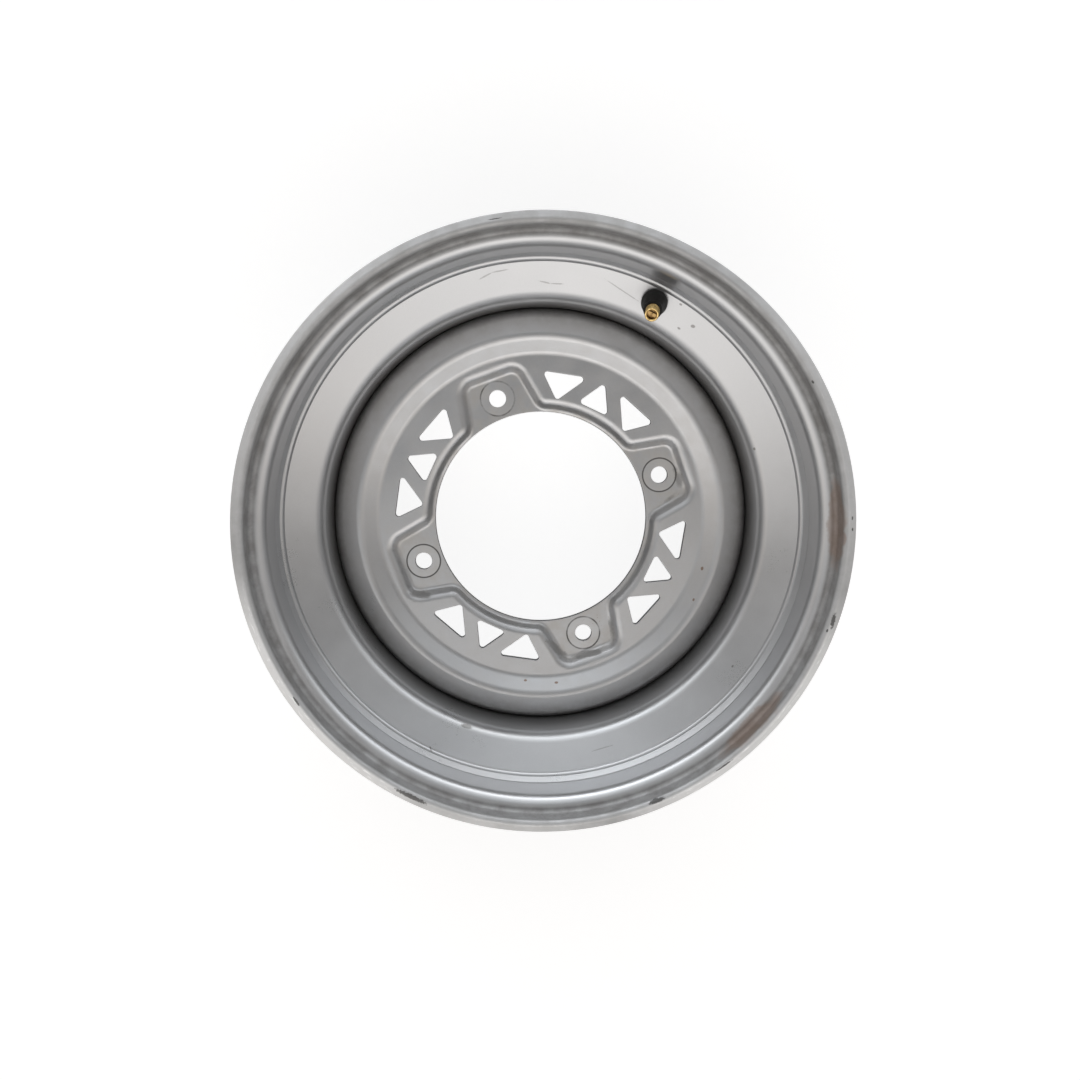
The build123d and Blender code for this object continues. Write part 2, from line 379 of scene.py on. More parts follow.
outboard = [(r, outboard_offset - d) for r, d in flange_line(wall_slopes[0])]
inboard = [(r, outboard_offset - rim_width + d) for r, d in flange_line(wall_slopes[1])]
wall_foot = np.array(outboard[-1])
wall_way = toward(wall_slopes[0])
wall_front = np.array([-wall_way[1], wall_way[0]])
seat_from_foot = (valve_seat_radius + wall_way[1] * barrel_sheet / 2 - wall_foot[0]) / wall_way[0]
valve_middle = wall_foot + seat_from_foot * wall_way
valve_patch = 0.0076


def sheet_outline(points, headings, thickness, edge):
    """Closed outline of a sheet round its middle line, its two ends rounded, with outward vectors."""
    half, left = thickness / 2, left_of(headings)
    ways = toward(headings)
    points = points.copy()
    points[0] += edge * ways[0]
    points[-1] -= edge * ways[-1]
    quarter = np.linspace(0, pi / 2, end_steps)[:, None]

    def end(point, way, side):
        """Two rounded corners of a cut end, from one face of the sheet to the other."""
        first = np.cos(quarter) * side + np.sin(quarter) * way
        second = np.sin(quarter) * -side + np.cos(quarter) * way
        near = point + (half - edge) * side + edge * first
        far = point - (half - edge) * side + edge * second
        return np.vstack([near, far]), np.vstack([first, second])

    far_end, far_out = end(points[-1], ways[-1], left[-1])
    near_end, near_out = end(points[0], -ways[0], -left[0])
    outline = np.vstack([points + half * left, far_end, (points - half * left)[::-1], near_end])
    outward = np.vstack([left, far_out, -left[::-1], near_out])
    return outline, outward


def barrel_parts():
    """The rolled hoop with its valve hole.

    The sheet's outline is carried round the axis. On the outboard wall a small patch of the grid
    is left out, and filled between its border and the hole, as (angle * radius, way up the wall).
    """
    high = valve_middle + valve_patch * wall_way
    low = valve_middle - valve_patch * wall_way
    corners = outboard[:-1] + [tuple(high), tuple(low), outboard[-1]] + inboard[::-1]
    bends = barrel_bends[:-1] + [0, 0, barrel_bends[-1]] + barrel_bends[::-1]
    points, headings = bent_line(corners, bends)
    outline, outward = sheet_outline(points, headings, barrel_sheet, lip_edge_round)
    ring, ring_out = turned(outline, outward, barrel_columns)
    faces = ring_faces(len(outline), barrel_columns, True)
    step = 2 * pi / barrel_columns
    first = floor((valve_angle - valve_patch / valve_seat_radius) / step)
    last = ceil((valve_angle + valve_patch / valve_seat_radius) / step)
    on_wall = np.linalg.norm(points - high, axis=1).argmin()
    high_front = high + wall_front * barrel_sheet / 2
    front_row = np.flatnonzero(np.linalg.norm(outline - high_front, axis=1) < 1e-9)[-1]
    rows = {on_wall, front_row - 1}
    column, row = faces[:, 0] // len(outline), faces[:, 0] % len(outline)
    cut = (column >= first) & (column < last) & np.isin(row, list(rows))
    parts = [(ring, ring_out, faces[~cut])]

    angles = np.arange(first, last + 1) * step
    top = np.c_[angles, np.full(len(angles), valve_patch)]
    bottom = np.c_[angles, np.full(len(angles), -valve_patch)][::-1]
    edge, _ = circle(valve_hole, hole_columns)
    radius = valve_middle[0] + edge[:, 1] * wall_way[0]
    hole = np.c_[valve_angle + edge[:, 0] / radius, edge[:, 1]]
    flat = np.vstack([top, bottom, hole])
    border = 2 * len(angles)
    triangles = filled(
        flat * [valve_middle[0], 1], [(0, border, False), (border, hole_columns, True)]
    )

    def lift(places, side):
        """Puts (angle, way up the wall) on the wall's front or tyre face."""
        section = valve_middle + places[:, 1:] * wall_way + side * barrel_sheet / 2 * wall_front
        turn = toward(places[:, 0])
        normal = np.c_[turn * wall_front[0], np.full(len(turn), wall_front[1])] * side
        return np.c_[turn * section[:, :1], section[:, 1]], normal

    for side in (1, -1):
        parts.append((*lift(flat, side), triangles))
    near, far = lift(hole, 1)[0], lift(hole, -1)[0]
    inward = unit(near.mean(0) - near)
    wall = np.stack([near, far], 1).reshape(-1, 3)
    parts.append((wall, np.repeat(inward, 2, axis=0), ring_faces(2, hole_columns, False)))
    return parts


# Disc

def recess_half_outline():
    """Half of one lobe of the hub recess, from the pad's end to the ring, in the pad's own frame."""
    across = np.array([sin(pad_flare), cos(pad_flare)])
    along = np.array([across[1], -across[0]])
    reach_line = np.array([lug_radius, pad_half_width]) @ across
    nose_way = sqrt((recess_ring + web_nose) ** 2 - (reach_line + web_nose) ** 2)
    nose = (reach_line + web_nose) * across + nose_way * along
    end_half = pad_half_width - (pad_end - lug_radius) * tan(pad_flare)
    on_ring = nose * recess_ring / (recess_ring + web_nose)
    on_side = nose - web_nose * across
    lobe, _ = bent_line([(pad_end, 0), (pad_end, end_half), tuple(on_side)], [pad_corner], recess_steps)
    start = atan2(*(on_side - nose)[::-1])
    stop = atan2(*(on_ring - nose)[::-1])
    sweep = (stop - start + pi) % (2 * pi) - pi
    turn = start + sweep * np.linspace(0, 1, nose_steps)[1:]
    nose_arc = nose + web_nose * toward(turn)
    ring_turn = np.linspace(atan2(on_ring[1], on_ring[0]), pi / lug_count, nose_steps)[1:]
    return np.vstack([lobe, nose_arc, recess_ring * toward(ring_turn)])


half_outline = recess_half_outline()


def recess_distance(places):
    """Distance of plane points from the recess outline, below zero inside it.

    The places are folded onto half a lobe, whose outline is compared segment by segment.
    """
    quarter = 2 * pi / lug_count
    angle = np.arctan2(places[:, 1], places[:, 0]) - first_lug_angle
    folded = np.abs((angle + quarter / 2) % quarter - quarter / 2)
    point = (np.hypot(places[:, 0], places[:, 1])[:, None] * toward(folded))[:, None, :]
    a, b = half_outline[None, :-1], half_outline[None, 1:]
    run = b - a
    share = np.clip(((point - a) * run).sum(-1) / (run ** 2).sum(-1), 0, 1)
    gap = point - a - share[..., None] * run
    size = np.hypot(gap[..., 0], gap[..., 1])
    nearest = size.argmin(1)
    rows = np.arange(len(places))
    cross = run[0, nearest, 0] * gap[rows, nearest, 1] - run[0, nearest, 1] * gap[rows, nearest, 0]
    return np.where(cross > 0, -1, 1) * size[rows, nearest]


def recess_profile(inset):
    """Height over distance from the outline: flat, up the slope and flat again, with both bends."""
    foot = inset * (1 - sin(recess_slope)) / cos(recess_slope)
    run = web_rise * tan(recess_slope)
    low, high, far = disc_sheet - inset, web_top - inset, 0.05
    bends = (recess_bends[0] + inset, recess_bends[1] - inset)
    return bent_line([(-far, low), (foot, low), (foot + run, high), (far, high)], bends, recess_steps)[0]


profiles = {inset: recess_profile(inset) for inset in (0.0, disc_sheet)}


def skin_height(places, inset):
    """Height of the disc's front skin, or of its back skin with the sheet as inset."""
    profile = profiles[inset]
    return np.interp(recess_distance(places), profile[:, 0], profile[:, 1])


def skin(places, inset):
    """Points and outward normals of one skin over plane places, the normals from its gradient."""
    step = slope_step
    east = (skin_height(places + [step, 0], inset) - skin_height(places - [step, 0], inset)) / (2 * step)
    north = (skin_height(places + [0, step], inset) - skin_height(places - [0, step], inset)) / (2 * step)
    facing = 1 if inset == 0 else -1
    normal = facing * unit(np.c_[-east, -north, np.ones(len(places))])
    return np.c_[places, skin_height(places, inset)], normal


def disc_holes():
    """Outline and away-pointing vectors of the bore, the lug holes and the windows."""
    holes = [circle(bore_radius, disc_columns)]
    for k in range(lug_count):
        lug = first_lug_angle + 2 * pi * k / lug_count
        holes.append(circle(lug_hole, hole_columns, lug_radius * toward(lug)))
        middle = lug + pi / lug_count
        mirrored = [(x, -y) for x, y in side_window][::-1]
        for corners in (middle_window, side_window, mirrored):
            line = bent_line(corners, [window_corner] * 3, window_steps, closed=True)
            points, headings = evened(*line, fine_step)
            holes.append((turned_by(points, middle), turned_by(-left_of(headings), middle)))
    return holes


def scattered(spacing, reach):
    """Points of a triangular lattice over a square of half side reach."""
    rows = np.arange(-reach, reach, spacing * sqrt(0.75))
    line = np.arange(-reach, reach, spacing)
    x, y = np.meshgrid(line, rows)
    x = x + (np.arange(len(rows)) % 2)[:, None] * spacing / 2
    return np.c_[x.ravel(), y.ravel()]


def disc_parts():
    """The pressed disc: two skins over one plane triangulation, punched edges, crown and flange.

    Inside the join circle each skin is a height over the plane, worked out from the distance to
    the recess outline. Outside it an outline of the crown is carried round the axis.
    """
    join = web_radius - join_margin
    holes = disc_holes()
    loops, places, start = [], [], 0
    for outline, away in holes:
        places.append(outline + punched_round * away)
        loops.append((start, len(outline), True))
        start += len(outline)
    places.append(circle(join, disc_columns)[0])
    loops.append((start, disc_columns, False))

    for spacing, is_near in ((fine_step, True), (coarse_step, False)):
        loose = scattered(spacing, join)
        distance = recess_distance(loose)
        near = (distance > near_recess[0]) & (distance < near_recess[1])
        loose = loose[near == is_near]
        radius = np.hypot(loose[:, 0], loose[:, 1])
        loose = loose[(radius > bore_radius + spacing) & (radius < join - spacing)]
        for outline, away in holes[1:]:
            gaps = np.linalg.norm(loose[:, None] - outline[None], axis=2)
            nearest = gaps.argmin(1)
            outward = ((loose - outline[nearest]) * away[nearest]).sum(1)
            loose = loose[(outward > 0) & (gaps.min(1) > punched_round + free_share * spacing)]
        places.append(loose)
    flat = np.vstack(places)
    triangles = filled(flat, loops)
    parts = [(*skin(flat, inset), triangles) for inset in (0.0, disc_sheet)]

    quarter = np.linspace(0, pi / 2, end_steps)
    for outline, away in holes:
        rim = outline + punched_round * away
        top, bottom = skin_height(rim, 0.0), skin_height(rim, disc_sheet)
        rows, outs = [], []
        for height, sign, turn in ((top, 1, quarter), (bottom, -1, quarter[::-1])):
            for b in turn:
                flat_part = outline + punched_round * (1 - sin(b)) * away
                rise = height - sign * punched_round * (1 - cos(b))
                rows.append(np.c_[flat_part, rise])
                outs.append(np.c_[-away * sin(b), np.full(len(away), sign * cos(b))])
        grid = np.stack(rows, 1).reshape(-1, 3)
        out = np.stack(outs, 1).reshape(-1, 3)
        parts.append((grid, out, ring_faces(len(rows), len(outline), False)))

    edge_top = crown_top - crown_width * tan(crown_fall)
    corners = [
        (join, web_top), (web_radius, web_top), (crown_foot, crown_top),
        (disc_radius, edge_top), (disc_radius, edge_flange_end),
    ]
    points, headings = bent_line(corners, crown_bends, crown_steps)
    front = left_of(headings)
    points[-1, 1] += disc_edge_round
    near = toward(np.linspace(0, -pi / 2, 4))
    far = toward(np.linspace(-pi / 2, -pi, 4))
    end = np.vstack([
        points[-1] - [disc_edge_round, 0.0] + disc_edge_round * near,
        points[-1] - [disc_sheet - disc_edge_round, 0.0] + disc_edge_round * far,
    ])
    outline = np.vstack([points, end, (points - disc_sheet * front)[::-1]])
    outward = np.vstack([front, near, far, -front[::-1]])
    ring, ring_out = turned(outline, outward, disc_columns)
    parts.append((ring, ring_out, ring_faces(len(outline), disc_columns, False)))
    return parts


# Welds

def weld_parts():
    """Stitches in the corner under the disc's edge flange.

    Across the bead its face is an arc that bulges out of the corner; along it the size swells in
    scalloped ripples, and both ends close as half an ellipse.
    """
    parts = []
    corner = np.array([well_radius - barrel_sheet, edge_flange_end])
    length = int(weld_sweep * corner[0] / weld_ripple) * weld_steps
    sweep = np.linspace(0, 1, length)
    arc = sweep * weld_sweep * corner[0]
    ripple = 1 - weld_dip * np.abs((arc / weld_ripple) % 1 - 0.35) ** 1.5
    tail = np.clip(np.minimum(sweep, 1 - sweep) * weld_sweep * corner[0] / weld_leg, 0, 1)
    size = ripple * np.sqrt(1 - (1 - tail) ** 2)
    t = np.linspace(0, 1, weld_rows)
    face = np.c_[-(1 - t), -t] - weld_bulge * (t * (1 - t))[:, None]
    face = np.vstack([face * weld_inset, [[0.0, 0.0]]])
    for k in range(weld_count):
        start = first_lug_angle + 2 * pi * k / weld_count
        angle = start + sweep * weld_sweep
        section = corner + weld_leg * size[:, None, None] * face[None]
        ring = toward(angle)[:, None]
        grid = np.concatenate([ring * section[..., :1], section[..., 1:]], -1)
        along = np.gradient(grid, axis=0)
        across = np.roll(grid, -1, 1) - np.roll(grid, 1, 1)
        normal = np.cross(across, along)
        middle = grid.mean(1, keepdims=True)
        flip = np.sign((normal * (grid - middle)).sum(-1, keepdims=True))
        normal = unit(normal * np.where(flip == 0, 1, flip)).reshape(-1, 3)
        parts.append((grid.reshape(-1, 3), normal, ring_faces(len(face), length, True, False)))
    return parts


# Valve

valve_lean = wall_slopes[0]
valve_height = valve_middle[1] + wall_front[1] * barrel_sheet / 2
valve_place = np.array([*valve_seat_radius * toward(valve_angle), valve_height])
valve_side = np.array([-sin(valve_angle), cos(valve_angle), 0.0])
valve_out = np.array([*-sin(valve_lean) * toward(valve_angle), cos(valve_lean)])
valve_turn = np.stack([valve_side, np.cross(valve_out, valve_side), valve_out])


def on_valve(points, normals):
    """From the valve's own frame, its axis along z, to the wheel's."""
    return points @ valve_turn + valve_place, normals @ valve_turn


def boot_parts():
    """Snap-in rubber: foot, neck, bulb and taper, one closed outline carried round the valve's axis."""
    behind = -barrel_sheet - valve_gap
    foot = behind - boot_foot_depth
    corners = [
        (stem_radius, foot), (boot_foot_radius - boot_foot_slope, foot),
        (boot_foot_radius, foot + boot_foot_slope), (boot_foot_radius, behind),
        (valve_neck, behind), (valve_neck, valve_gap), (bulb_foot_radius, valve_gap),
        (bulb_radius, bulb_heights[0]), (bulb_radius, bulb_heights[1]),
        (taper_radius, taper_top), (taper_radius, boot_top), (stem_radius, boot_top),
    ]
    points, headings = bent_line(corners, boot_bends, boot_steps, closed=True)
    ring, out = turned(points, -left_of(headings), boot_columns)
    return [(*on_valve(ring, out), ring_faces(len(points), boot_columns, True))]


def triangle_wave(turns):
    """0 at whole numbers, 1 halfway between them."""
    return 1 - np.abs(2 * (turns % 1) - 1)


def stem_parts():
    """Brass tube; both threads are a triangle wave of height / pitch less the turn, cut from its wall."""
    fine = thread_pitch / 8
    thread_end, mouth_foot = stem_tip - stem_edge, stem_tip - mouth_depth
    outer = [(thread_radius, z) for z in np.arange(thread_start + thread_runout, thread_end - fine, fine)]
    inner = [(mouth_radius, z) for z in np.arange(mouth_foot + mouth_runout, thread_end - fine, fine)]
    before = [(duct_radius, stem_foot), (stem_radius, stem_foot), (stem_radius, thread_start),
              (thread_radius, thread_start)]
    top = [(thread_radius, thread_end), (thread_radius - stem_edge, stem_tip),
           (mouth_radius + stem_edge, stem_tip), (mouth_radius, thread_end)]
    foot = [(mouth_radius, mouth_foot), (duct_radius, mouth_foot - mouth_taper)]
    corners = before + outer + top + inner[::-1] + foot
    bends = [stem_bend] * 4 + [0] * len(outer) + [stem_bend] * 4 + [0] * len(inner) + [stem_bend] * 2
    points, _ = bent_line(corners, bends, 4, closed=True)
    angle = np.linspace(0, 2 * pi, stem_columns, endpoint=False)[:, None]
    radius, height = (np.broadcast_to(points[:, k], (stem_columns, len(points))) for k in (0, 1))
    share = triangle_wave(height / thread_pitch - angle / (2 * pi))
    fade = np.clip((height - thread_start) / thread_pitch, 0, 1)
    fade = fade * np.clip((stem_tip - height) / thread_pitch, 0, 1)
    outside = np.abs(radius - thread_radius) < 1e-6
    inside = (np.abs(radius - mouth_radius) < 1e-6) & (height > mouth_foot)
    radius = radius - outside * thread_depth * share * fade + inside * mouth_thread_depth * share * fade
    grid = np.stack([radius * np.cos(angle), radius * np.sin(angle), height], -1)
    normal = grid_normals(grid).reshape(-1, 3)
    return [(*on_valve(grid.reshape(-1, 3), normal), ring_faces(len(points), stem_columns, True))]


# Shader nodes

class Wires:
    """Adds shader nodes to one tree. A socket takes a value or another node's output."""

    def __init__(self, tree):
        self.tree = tree

    def add(self, kind, inputs=None, **settings):
        node = self.tree.nodes.new("ShaderNode" + kind)
        for name, value in settings.items():
            setattr(node, name, value)
        for name, value in (inputs or {}).items():
            if isinstance(value, bpy.types.NodeSocket):
                self.tree.links.new(value, node.inputs[name])
            else:
                node.inputs[name].default_value = value
        return node

    def math(self, operation, a, b=0.0, c=0.0):
        return self.add("Math", {0: a, 1: b, 2: c}, operation=operation).outputs[0]

    def chain(self, operation, values):
        """One math node after another, from the first value to the last."""
        total = values[0]
        for value in values[1:]:
            total = self.math(operation, total, value)
        return total

    def times(self, *values):
        return self.chain("MULTIPLY", values)

    def plus(self, *values):
        return self.chain("ADD", values)

    def most(self, *values):
        return self.chain("MAXIMUM", values)

    def less(self, *values):
        """The first value less all the others."""
        return self.chain("SUBTRACT", values)

    def across(self, x, y):
        """Length of a plane vector."""
        return self.math("SQRT", self.plus(self.times(x, x), self.times(y, y)))

    def vector(self, operation, a, b):
        return self.add("VectorMath", {0: a, 1: b}, operation=operation).outputs[0]

    def scaled(self, vector, share):
        return self.add("VectorMath", {0: vector, "Scale": share}, operation="SCALE").outputs[0]

    def length(self, a):
        return self.add("VectorMath", {0: a}, operation="LENGTH").outputs["Value"]

    def split(self, vector):
        return self.add("SeparateXYZ", {0: vector}).outputs

    def join(self, x, y, z):
        return self.add("CombineXYZ", {0: x, 1: y, 2: z}).outputs[0]

    def place(self):
        """Object coordinates, in metres."""
        return self.add("TexCoord").outputs["Object"]

    def ease(self, value, low, high, start=0.0, stop=1.0):
        """Smooth step from start to stop as value goes from low to high."""
        return self.add(
            "MapRange",
            {"Value": value, "From Min": low, "From Max": high, "To Min": start, "To Max": stop},
            interpolation_type="SMOOTHSTEP",
        ).outputs[0]

    def between(self, noise, start=0.0, stop=1.0):
        """From start to stop over the middle values of a noise."""
        return self.ease(noise, 0.3, 0.7, start, stop)

    def noise(self, vector, scale, detail, roughness, distortion=0.0):
        inputs = {"Vector": vector, "Scale": scale, "Detail": detail, "Roughness": roughness}
        return self.add("TexNoise", {**inputs, "Distortion": distortion}).outputs[0]

    def blend(self, share, a, b):
        return self.add("Mix", {0: share, 6: a, 7: b}, data_type="RGBA").outputs[2]

    def layered(self, base, layers):
        """Colours laid over one another, each at its own share."""
        for share, colour in layers:
            base = self.blend(share, base, colour)
        return base

    def for_camera(self, plain, seen):
        """The shader seen for camera rays, and the plain one for all others."""
        ray = self.add("LightPath").outputs["Is Camera Ray"]
        return self.add("MixShader", {0: ray, 1: plain, 2: seen}).outputs[0]

    def group(self, tree, inputs):
        return self.add("Group", inputs, node_tree=tree).outputs


def effect(name, inputs, outputs, wire):
    """A node group; wire draws its inside and returns its outputs. An input of None is a vector."""
    tree = bpy.data.node_groups.new(name, "ShaderNodeTree")
    for label, value in inputs.items():
        kind = "NodeSocketVector" if value is None else "NodeSocketFloat"
        socket = tree.interface.new_socket(name=label, in_out="INPUT", socket_type=kind)
        if value is not None:
            socket.default_value = value
    for label in outputs:
        tree.interface.new_socket(name=label, in_out="OUTPUT", socket_type="NodeSocketFloat")
    w = Wires(tree)
    results = wire(w, tree.nodes.new("NodeGroupInput").outputs)
    end = tree.nodes.new("NodeGroupOutput")
    for label, result in zip(outputs, results):
        tree.links.new(result, end.inputs[label])
    return tree


def draw_grain(w, given):
    """Flake, mottle and the faint dimpling of sprayed paint."""
    place = given["Place"]
    mottle = w.noise(place, 28.0, 4.0, 0.6)
    flake = w.noise(place, given["Flake"], 2.0, 0.7)
    dimple = w.noise(place, 420.0, 2.0, 0.5)
    tone = w.plus(w.between(mottle, 0.965, 1.03), w.between(flake, -0.03, 0.03))
    gloss = w.plus(w.between(mottle, -0.03, 0.04), w.ease(flake, 0.35, 0.65, -0.03, 0.03))
    height = w.plus(w.times(flake, 0.25), dimple)
    return tone, gloss, height


def draw_spot(w, given):
    """An oval mark: the offset from its centre, turned and divided by its half sizes, with a ragged edge."""
    offset = w.vector("SUBTRACT", given["Place"], given["Centre"])
    turning = {"Vector": offset, "Angle": given["Turn"]}
    offset = w.add("VectorRotate", turning, rotation_type="Z_AXIS").outputs[0]
    size = w.join(given["Long"], given["Wide"], given["Deep"])
    away = w.length(w.vector("DIVIDE", offset, size))
    rough = w.times(w.less(given["Noise"], 0.5), given["Ragged"])
    return (w.ease(w.plus(away, rough), 0.7, 1.15, 1.0, 0.0),)


def draw_ring(w, given):
    """A thin circle round an axis along Z, its strength broken up by noise."""
    offset = w.split(w.vector("SUBTRACT", given["Place"], given["Centre"]))
    away = w.across(offset[0], offset[1])
    off = w.math("ABSOLUTE", w.less(away, given["Radius"]))
    line = w.ease(w.math("DIVIDE", off, given["Width"]), 0.5, 1.0, 1.0, 0.0)
    broken = w.ease(w.plus(given["Noise"], given["Strength"]), 0.5, 1.0, 0.0, 1.0)
    inside = w.ease(w.math("DIVIDE", away, given["Radius"]), 0.93, 1.0, 1.0, 0.0)
    return w.times(line, broken), inside


def draw_specks(w, given):
    """Sparse round specks: the middles of cells that a noise picks."""
    cells = w.add("TexVoronoi", {"Vector": given["Place"], "Scale": given["Scale"]})
    near = w.ease(cells.outputs["Distance"], 0.1, 0.26, 1.0, 0.0)
    pick = w.split(cells.outputs["Color"])[0]
    return (w.times(near, w.ease(pick, given["Share"], w.plus(given["Share"], 0.04))),)


def draw_streaks(w, given):
    """Scuffs drawn out along the rim: noise over angle, radius and height, each with its own scale."""
    x, y, z = w.split(given["Place"])
    angle = w.math("ARCTAN2", y, x)
    radius = w.across(x, y)
    place = w.join(w.times(angle, given["Along"]), w.times(radius, given["Across"]),
                   w.times(z, given["Across"]))
    return (w.ease(w.noise(place, 1.0, 5.0, 0.65, 0.3), given["Low"], w.plus(given["Low"], 0.1)),)


grain_effect = effect(
    "sprayed_grain", {"Place": None, "Flake": 2600.0}, ["Tone", "Gloss", "Height"], draw_grain
)
spot_effect = effect(
    "worn_spot",
    {"Place": None, "Centre": None, "Turn": 0.0, "Long": 0.01, "Wide": 0.01, "Deep": 0.005,
     "Noise": 0.5, "Ragged": 1.0},
    ["Mask"], draw_spot,
)
ring_effect = effect(
    "nut_ring",
    {"Place": None, "Centre": None, "Radius": 0.01, "Width": 0.0005, "Noise": 0.5, "Strength": 0.5},
    ["Line", "Inside"], draw_ring,
)
speck_effect = effect("dirt_specks", {"Place": None, "Scale": 900.0, "Share": 0.7}, ["Mask"], draw_specks)
streak_effect = effect(
    "rim_streaks", {"Place": None, "Along": 26.0, "Across": 900.0, "Low": 0.6}, ["Mask"], draw_streaks
)


def new_material(name):
    """An empty node material and its wires."""
    material = bpy.data.materials.new(name)
    material.use_nodes = True
    material.node_tree.nodes.clear()
    return material, Wires(material.node_tree)


def finish_material(w, colour, roughness, height, bump, others):
    """A Principled shader with its colour, roughness, bump and other inputs, wired to the output."""
    normal = w.add("Bump", {"Height": height, "Strength": bump[0], "Distance": bump[1]})
    inputs = {"Base Color": colour, "Roughness": roughness, "Normal": normal.outputs[0], **others}
    shader = w.add("BsdfPrincipled", inputs)
    w.add("OutputMaterial", {0: shader.outputs[0]})


def finish_paint(w, grain, colour, dull, roughened, bared, dents):
    """Satin silver paint: where it is dull it is rougher and less metallic, and dents go down."""
    roughness = w.plus(grain["Gloss"], 0.33, w.times(dull, roughened))
    metallic = w.less(0.8, w.times(dull, 0.6), bared)
    height = w.less(grain["Height"], dents)
    others = {"Metallic": metallic, "Coat Weight": 0.3, "Coat Roughness": 0.18}
    finish_material(w, colour, roughness, height, (0.35, 0.00004), others)


def mark_mask(w, place, noise, marks, ragged, deep=0.006):
    """The strongest of several marks, each from one (angle, radius) to another at a height."""
    masks = []
    for start_angle, start_radius, end_angle, end_radius, height, width in marks:
        start = start_radius * toward(radians(start_angle))
        end = end_radius * toward(radians(end_angle))
        middle, run = (start + end) / 2, end - start
        masks.append(w.group(spot_effect, {
            "Place": place, "Centre": (middle[0], middle[1], height),
            "Turn": -atan2(run[1], run[0]), "Long": float(np.hypot(*run)) / 2 + width / 2,
            "Wide": width / 2, "Deep": deep, "Noise": noise, "Ragged": ragged,
        })["Mask"])
    return w.most(*masks)


# Colours
silver = (0.56, 0.565, 0.575, 1.0)
bare_dark = (0.035, 0.032, 0.03, 1.0)
rust_brown = (0.2, 0.1, 0.045, 1.0)
rubbed_light = (0.95, 0.95, 0.95, 1.0)
# Dark grime, also used as painted shade in the flange valley, at the wall's foot and towards the disc's edge
grime_and_shade = (0.09, 0.08, 0.07, 1.0)
warm_dust = (0.46, 0.42, 0.37, 1.0)
lip_grey = (0.32, 0.315, 0.31, 1.0)

# Marks on the barrel: angle and radius of one end, of the other, height, width (degrees and metres)
lip_crest = 0.0898
lip_chips = [
    (-120.6, 0.1612, -114.2, 0.1612, lip_crest, 0.0026),
    (-147.4, 0.1606, -145.6, 0.1606, lip_crest, 0.0012),
    (-54.6, 0.1606, -50.8, 0.1608, lip_crest, 0.001),
    (-69.0, 0.1594, -66.2, 0.1597, lip_crest, 0.0022),
    (-18.0, 0.1618, -15.6, 0.161, lip_crest, 0.0024),
    (-19.2, 0.1602, -18.8, 0.1602, lip_crest, 0.001),
    (3.3, 0.1626, 2.9, 0.1626, lip_crest, 0.001),
    (1.2, 0.1628, 0.8, 0.1628, lip_crest, 0.001),
    (30.3, 0.1596, 29.9, 0.1596, lip_crest, 0.001),
    (100.5, 0.1624, 98.0, 0.1624, lip_crest, 0.0006),
]
valley_rust = [
    (-6.0, 0.1585, 9.0, 0.1585, 0.0805, 0.009),
    (-2.0, 0.1586, 0.5, 0.1586, 0.084, 0.0035),
    (-50.0, 0.1583, -36.0, 0.1583, 0.081, 0.008),
]
wall_specks = [
    (19.8, 0.1303, 19.5, 0.1303, 0.0371, 0.0012),
    (-36.8, 0.1406, -37.1, 0.1406, 0.0428, 0.0011),
    (58.6, 0.1458, 58.3, 0.1458, 0.0456, 0.0011),
    (55.8, 0.1355, 55.4, 0.1355, 0.0399, 0.0012),
    (53.5, 0.1404, 53.1, 0.1406, 0.0428, 0.0018),
    (-116.5, 0.1485, -117.3, 0.1468, 0.05, 0.0009),
    (-111.8, 0.1305, -109.6, 0.1301, 0.0371, 0.0022),
]
wall_scratches = [
    (104.6, 0.1421, 101.4, 0.144, 0.0441, 0.0008),
    (101.4, 0.144, 98.0, 0.1441, 0.0446, 0.0007),
    (91.0, 0.1372, 88.4, 0.136, 0.0405, 0.0008),
    (88.4, 0.136, 85.4, 0.1362, 0.04, 0.0007),
    (76.4, 0.1424, 66.8, 0.1371, 0.0422, 0.0006),
    (-78.0, 0.1395, -72.6, 0.1392, 0.0425, 0.0006),
]

# Worn arcs of the lip: middle in degrees, share; and the cosines off the middle where they set in
rubbed_arcs = [(-142, 1.0), (-108, 0.5), (-45, 0.9), (148, 0.3), (20, 0.3)]
rubbed_spread = (0.82, 0.97)

# Heights or radii between which each of the barrel's tints sets in
lip_heights = (0.0852, 0.087)
lip_radii = (0.1575, 0.159)
lip_edge_radii = (0.1597, 0.1612)
# Painted shade with grime in the flange valley
valley_heights = (0.0752, 0.0768)
valley_top_heights = (0.0885, 0.086)
valley_radii = (0.153, 0.1565)
valley_back_radii = (0.1598, 0.1592)
# Painted shade with some grime at the wall's foot, towards the crevice under the disc
crevice_shade_heights = (0.034, 0.013)
crevice_shade_radii = (0.131, 0.1292)


